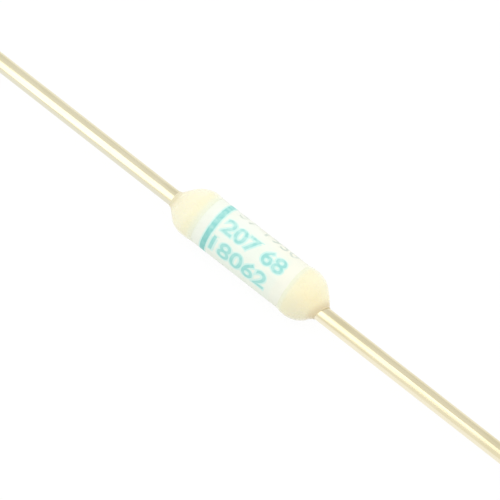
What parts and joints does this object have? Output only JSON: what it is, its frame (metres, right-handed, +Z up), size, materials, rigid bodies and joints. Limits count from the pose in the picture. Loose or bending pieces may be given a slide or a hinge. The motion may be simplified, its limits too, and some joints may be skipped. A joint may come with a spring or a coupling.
{
  "type": "thermal fuse",
  "caption": "Small axial thermal fuse: a white ceramic tube closed by domed cream resin seals, with a straight tinned wire lead out of each end, that cuts a circuit for good when it overheats.",
  "frame": {"origin": "centre of the ceramic tube, on its axis", "axes": "+X along the tube and the right lead, +Z up, -Y the side towards which the leads are off centre"},
  "size_m": [0.0811, 0.0032, 0.0032],
  "materials": {
    "ceramic": "satin",
    "tinned_wire": "satin",
    "fusible_alloy": "satin",
    "flux": "gloss",
    "resin": "gloss",
    "print_ink": "matte"
  },
  "bodies": {
    "root": {"ceramic_tube": "ceramic", "lead_left": "tinned_wire", "lead_right": "tinned_wire", "fusible_link": "fusible_alloy", "flux_coat": "flux", "seal_left": "resin", "seal_right": "resin"}
  },
  "joints": []
}
